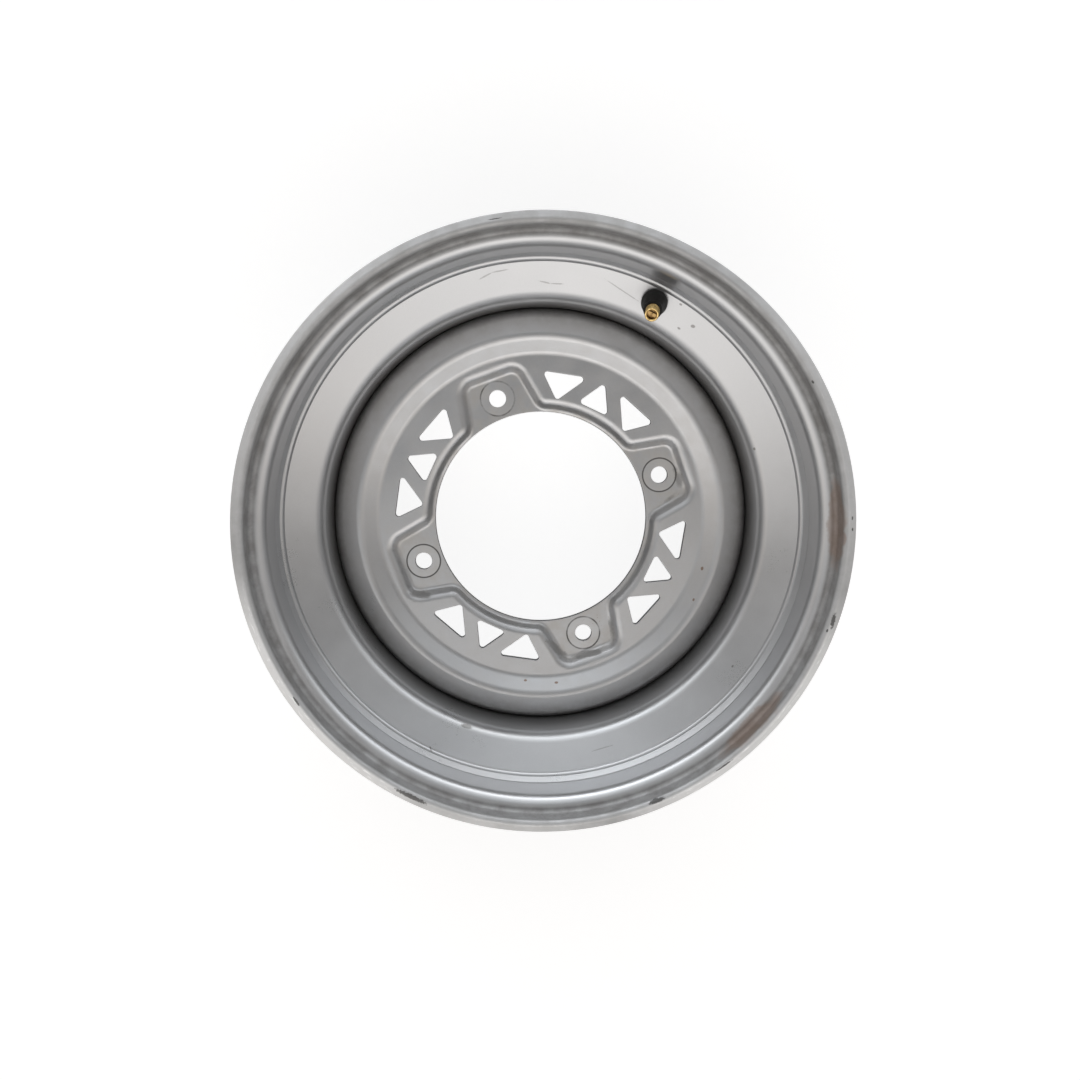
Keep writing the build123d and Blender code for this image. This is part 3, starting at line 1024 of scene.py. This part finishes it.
def barrel_paint():
    """Silver paint of the barrel: chipped and scuffed lip, rust in the flange, specks and scratches, and
    painted shade with grime in the flange valley and at the wall's foot.
    """
    material, w = new_material("silver_paint_barrel")
    place = w.place()
    ragged = w.noise(place, 900.0, 4.0, 0.7)
    soft = w.noise(place, 90.0, 4.0, 0.6)
    grain = w.group(grain_effect, {"Place": place})
    x, y, z = w.split(place)
    radius = w.across(x, y)
    angle = w.math("ARCTAN2", y, x)
    lip = w.times(w.ease(z, *lip_heights), w.ease(radius, *lip_radii))
    edge = w.times(lip, w.ease(radius, *lip_edge_radii))
    arcs = []
    for middle, share in rubbed_arcs:
        nearness = w.math("COSINE", w.less(angle, radians(middle)))
        arcs.append(w.ease(nearness, *rubbed_spread, 0.0, share))
    streaks = w.group(streak_effect, {"Place": place, "Low": 0.56})["Mask"]
    lip_wear = w.times(edge, w.most(*arcs), w.math("MULTIPLY_ADD", streaks, 0.35, 0.65))
    chips = mark_mask(w, place, ragged, lip_chips, 1.6)
    specks = mark_mask(w, place, ragged, wall_specks, 0.6)
    scratches = mark_mask(w, place, ragged, wall_scratches, 1.2)
    rust = w.times(mark_mask(w, place, soft, valley_rust, 1.4, 0.009), 0.45)

    hazy = w.between(soft, 0.6, 1.0)
    matte = w.times(lip, hazy)
    # Painted shade with grime: the flange valley and the lip's rising wall darker all round
    valley_shade_and_grime = w.times(
        w.ease(radius, *valley_radii), w.ease(z, *valley_heights),
        w.ease(z, *valley_top_heights), hazy, w.ease(radius, *valley_back_radii),
    )
    # Painted shade, with some grime, darkening the wall's foot towards the crevice under the disc
    crevice_shade_and_grime = w.times(w.ease(z, *crevice_shade_heights), w.ease(radius, *crevice_shade_radii))
    colour = w.layered(w.scaled(silver[:3], grain["Tone"]), [
        (w.times(matte, 0.75), lip_grey),
        (w.times(valley_shade_and_grime, 0.7), grime_and_shade),
        (w.times(crevice_shade_and_grime, 0.5), grime_and_shade),
        (lip_wear, rubbed_light),
        (w.times(scratches, 0.35), grime_and_shade),
        (rust, rust_brown),
        (w.times(specks, 0.6), grime_and_shade),
        (w.times(chips, 0.85), bare_dark),
    ])
    dull = w.most(rust, chips, w.times(matte, 0.8), valley_shade_and_grime, lip_wear)
    bared = w.times(lip_wear, 0.2)
    finish_paint(w, grain, colour, dull, 0.35, bared, w.times(w.most(chips, scratches), 2.0))
    return material


# Marks on the disc
# Darker patches along the pads' walls and corners
pad_corner_dark = [
    (12.5, 0.0895, 22.0, 0.088, 0.0075, 0.006),
    (7.5, 0.078, 10.5, 0.0865, 0.0075, 0.004),
    (-86.0, 0.079, -79.0, 0.091, 0.0075, 0.005),
    (-79.0, 0.091, -66.0, 0.0925, 0.0075, 0.004),
    (-60.0, 0.0905, -56.5, 0.079, 0.0075, 0.004),
    (-146.5, 0.086, -149.5, 0.0925, 0.0075, 0.005),
]
pad_specks = [
    (10.0, 0.0855, 20.0, 0.0885, 0.006, 0.009),
    (-66.0, 0.071, -58.0, 0.077, 0.006, 0.008),
    (-88.0, 0.075, -82.0, 0.085, 0.006, 0.006),
]
web_specks = [
    (-95.9, 0.1025, -95.5, 0.1025, 0.0105, 0.0013),
    (-85.2, 0.1038, -84.6, 0.1038, 0.0121, 0.0014),
    (-27.9, 0.1071, -28.3, 0.1071, 0.0147, 0.0013),
    (-17.0, 0.1045, -17.6, 0.1045, 0.013, 0.0016),
]
ring_strengths = (0.55, 0.25, 1.0, 0.4)
nut_mark_radius = 0.0104
nut_mark_width = 0.0006

# Heights or radii between which the disc's tints set in
front_heights = (0.0012, 0.003)
pad_heights = (0.0075, 0.004)
# Painted shade towards the disc's edge by the well
shade_radii = (0.111, 0.1268)


def disc_paint():
    """Silver paint of the disc: nut marks round the lug holes, darker patches in the pads' corners, a warm
    film, and painted shade towards its edge.
    """
    material, w = new_material("silver_paint_disc")
    place = w.place()
    ragged = w.noise(place, 700.0, 4.0, 0.7)
    soft = w.noise(place, 110.0, 4.0, 0.6)
    grain = w.group(grain_effect, {"Place": place})
    rings = []
    for k, strength in enumerate(ring_strengths):
        lug = first_lug_angle + 2 * pi * k / lug_count
        centre = (*lug_radius * toward(lug), 0.0)
        rings.append(w.group(ring_effect, {
            "Place": place, "Centre": centre, "Radius": nut_mark_radius, "Width": nut_mark_width,
            "Noise": soft, "Strength": strength,
        }))
    x, y, z = w.split(place)
    front = w.ease(z, *front_heights)
    line = w.times(w.most(*[ring["Line"] for ring in rings]), front)
    inside = w.times(w.most(*[ring["Inside"] for ring in rings]), front)
    # Darker patches along the pads' walls and corners
    corner_dark = mark_mask(w, place, soft, pad_corner_dark, 1.6)
    zone = mark_mask(w, place, soft, pad_specks, 1.0)
    dots = w.group(speck_effect, {"Place": place, "Scale": 700.0, "Share": 0.72})["Mask"]
    specks = w.most(w.times(zone, dots), mark_mask(w, place, ragged, web_specks, 0.6))
    low = w.times(w.ease(z, *pad_heights), front)
    film = w.times(w.plus(w.times(low, 0.3), 0.12), w.between(soft))
    # Painted shade: the disc darker towards its edge by the well, broken up by noise
    shade = w.times(w.ease(w.across(x, y), *shade_radii), w.between(soft, 0.6, 1.0))
    colour = w.layered(w.scaled(silver[:3], grain["Tone"]), [
        (film, warm_dust),
        (w.times(shade, 0.5), grime_and_shade),
        (w.times(inside, 0.1), rubbed_light),
        (w.times(corner_dark, 0.5), grime_and_shade),
        (w.times(specks, 0.75), rust_brown),
        (w.times(line, 0.85), bare_dark),
    ])
    dull = w.most(corner_dark, line, film)
    finish_paint(w, grain, colour, dull, 0.25, 0.0, w.times(line, 2.5))
    return material


def weld_paint():
    """Silver paint over weld metal: heavier mottle, a little rust between the ripples."""
    material, w = new_material("silver_paint_weld")
    place = w.place()
    grain = w.group(grain_effect, {"Place": place})
    soft = w.noise(place, 260.0, 4.0, 0.7)
    rust = w.ease(soft, 0.58, 0.75, 0.0, 0.5)
    colour = w.blend(rust, w.scaled(silver[:3], grain["Tone"]), rust_brown)
    roughness = w.plus(grain["Gloss"], 0.45, w.times(rust, 0.4))
    finish_material(w, colour, roughness, soft, (0.6, 0.0002), {"Metallic": 0.7})
    return material


def boot_rubber():
    """Black rubber: fine pores, a bloom of grey dust and faint mould rings."""
    material, w = new_material("valve_rubber")
    place = w.place()
    pores = w.noise(place, 3200.0, 3.0, 0.7)
    bloom = w.noise(place, 240.0, 4.0, 0.65)
    share = w.ease(bloom, 0.45, 0.75, 0.0, 0.5)
    colour = w.blend(share, (0.009, 0.0085, 0.008, 1.0), (0.035, 0.033, 0.03, 1.0))
    roughness = w.between(bloom, 0.55, 0.72)
    finish_material(w, colour, roughness, pores, (0.4, 0.00006), {"Specular IOR Level": 0.3})
    return material


def brass(name, tarnish):
    """Brass: golden where rubbed, browner the more it is tarnished."""
    material, w = new_material(name)
    place = w.place()
    patch = w.noise(place, 700.0, 4.0, 0.7)
    fine = w.noise(place, 5200.0, 2.0, 0.6)
    share = w.ease(patch, 0.42, 0.68, tarnish, min(1.0, tarnish + 0.6))
    colour = w.blend(share, (0.86, 0.62, 0.27, 1.0), (0.2, 0.115, 0.05, 1.0))
    roughness = w.plus(w.ease(patch, 0.4, 0.7, 0.24, 0.45), w.between(fine, -0.04, 0.04))
    finish_material(w, colour, roughness, fine, (0.3, 0.00003), {"Metallic": 1.0})
    return material


def core_material(name, noise, colours, roughness, bump, metallic):
    """A small core piece: one fine noise moves its colour, its roughness and its bump."""
    material, w = new_material(name)
    patch = w.noise(w.place(), *noise)
    colour = w.blend(w.ease(patch, 0.4, 0.7), *colours)
    others = {"Metallic": metallic}
    finish_material(w, colour, w.between(patch, *roughness), patch, bump, others)
    return material


# Pieces
bright_brass = brass("valve_brass", 0.0)
dark_brass = brass("core_brass", 0.75)
gasket_plastic = core_material(
    "core_gasket", (900.0, 3.0, 0.6), [(0.72, 0.71, 0.67, 1.0), (0.6, 0.58, 0.52, 1.0)],
    (0.4, 0.55), (0.3, 0.00003), 0.0,
)
seal_rubber = core_material(
    "core_seal", (4200.0, 3.0, 0.7), [(0.025, 0.022, 0.022, 1.0), (0.05, 0.045, 0.04, 1.0)],
    (0.6, 0.75), (0.4, 0.00003), 0.0,
)
spring_wire = core_material(
    "spring_steel", (3000.0, 3.0, 0.6), [(0.6, 0.6, 0.61, 1.0), (0.38, 0.37, 0.36, 1.0)],
    (0.25, 0.4), (0.2, 0.00001), 1.0,
)
make_mesh("barrel_shell", barrel_parts(), barrel_paint(), "rim_barrel")
make_mesh("disc_shell", disc_parts(), disc_paint(), "wheel_disc")
make_mesh("weld_beads", weld_parts(), weld_paint(), "disc_weld")
make_mesh("valve_boot", boot_parts(), boot_rubber(), "valve_rubber")
make_mesh("valve_tube", stem_parts(), bright_brass, "valve_stem")
for node, material in (
    ("valve_core_body", dark_brass), ("valve_core_pin", dark_brass),
    ("valve_core_gasket", gasket_plastic), ("valve_core_seal", seal_rubber),
    ("valve_core_spring", spring_wire),
):
    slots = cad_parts[node].data.materials
    slots.clear()
    slots.append(material)


# Stage
floor_reach = 3.0
# Painted light: the floor's glow for the camera is stronger under the wheel than beyond it
lifted_shadow_radii = (0.13, 0.16)
lifted_shadow_levels = (0.88, 0.55)


def make_floor():
    """A pale floor at the lower flange. The camera sees it near white, with the wheel's soft shadow; for the
    camera it glows brighter under the wheel than beyond, painted light that lifts the shadow seen through
    the bore and windows.
    """
    corners = [(-floor_reach, -floor_reach), (floor_reach, -floor_reach),
               (floor_reach, floor_reach), (-floor_reach, floor_reach)]
    mesh = bpy.data.meshes.new("floor")
    mesh.from_pydata([(x, y, cad_box[0].z) for x, y in corners], [], [(0, 1, 2, 3)])
    material, w = new_material("pale_floor")
    plain = w.add("BsdfDiffuse", {"Color": (0.8, 0.8, 0.8, 1.0)}).outputs[0]
    x, y, _ = w.split(w.place())
    # Painted light lifting the shadow under the wheel
    level = w.ease(w.across(x, y), *lifted_shadow_radii, *lifted_shadow_levels)
    dim = w.add("BsdfDiffuse", {"Color": (0.6, 0.6, 0.6, 1.0)}).outputs[0]
    glow = w.add("Emission", {"Color": (1.0, 1.0, 1.0, 1.0), "Strength": level}).outputs[0]
    seen = w.add("AddShader", {0: dim, 1: glow}).outputs[0]
    w.add("OutputMaterial", {0: w.for_camera(plain, seen)})
    mesh.materials.append(material)
    ground = bpy.data.objects.new("floor", mesh)
    bpy.context.scene.collection.objects.link(ground)


# Soft lamps of the dome: degrees from +Y towards +X, degrees up, strength, warmth
lamps = [
    (135, 75, 0.12, 0.1), (225, 75, 0.2, -0.1), (0, 50, 0.82, -0.03), (45, 50, 0.215, -0.03),
    (135, 50, 0.8, 0.07), (180, 50, 1.35, 0.035), (225, 50, 0.79, 0.04), (315, 50, 0.33, 0.01),
    (0, 27, 0.07, 0.0), (60, 27, 0.4, 0.05), (90, 27, 0.06, 0.0), (120, 27, 0.69, 0.04),
    (150, 27, 0.48, -0.05), (180, 27, 0.35, 0.02), (210, 27, 0.55, 0.015), (240, 27, 0.775, 0.04),
    (270, 27, 0.4, 0.1), (15, 6, 2.46, -0.01), (45, 6, 1.82, -0.05), (285, 6, 0.12, -0.1),
    (315, 6, 2.2, -0.01), (345, 6, 3.25, -0.04),
]
lamp_tightness = 16.0
dome_level = (0.02, 0.02, 0.02)


def make_studio():
    """A dome of soft lamps.

    The light from direction d is the sum over lamps of strength * exp(tightness * (d . lamp - 1)).
    """
    world = bpy.data.worlds.new("studio")
    bpy.context.scene.world = world
    world.use_nodes = True
    world.node_tree.nodes.clear()
    w = Wires(world.node_tree)
    direction = w.add("TexCoord").outputs["Generated"]
    total = dome_level
    for azimuth, elevation, strength, warmth in lamps:
        a, e = radians(azimuth), radians(elevation)
        lamp = (cos(e) * sin(a), cos(e) * cos(a), sin(e))
        facing = w.add("VectorMath", {0: direction, 1: lamp}, operation="DOT_PRODUCT")
        power = w.math("MULTIPLY_ADD", facing.outputs["Value"], lamp_tightness, -lamp_tightness)
        tint = (strength * (1 + warmth), strength, strength * (1 - warmth))
        total = w.vector("ADD", w.scaled(tint, w.math("EXPONENT", power)), total)
    sky = w.add("Background", {"Color": total, "Strength": 1.0}).outputs[0]
    white = w.add("Background", {"Color": (1.0, 1.0, 1.0, 1.0), "Strength": 1.0}).outputs[0]
    w.add("OutputWorld", {0: w.for_camera(sky, white)})


def make_camera():
    """Camera over the wheel, its up towards +Y, at the place and lens that the picture was fitted with."""
    ahead = (camera_aim - camera_place).normalized()
    right = ahead.cross(Vector((0.0, 1.0, 0.0))).normalized()
    up = right.cross(ahead)
    data = bpy.data.cameras.new("camera")
    data.lens, data.sensor_width = camera_lens, camera_sensor
    data.clip_start, data.clip_end = 0.01, 20.0
    camera = bpy.data.objects.new("camera", data)
    turn = Matrix((right, up, -ahead)).transposed().to_4x4()
    camera.matrix_world = Matrix.Translation(camera_place) @ turn
    bpy.context.scene.collection.objects.link(camera)
    bpy.context.scene.camera = camera


make_floor()
make_studio()
make_camera()
bpy.context.scene.view_settings.view_transform = "Standard"
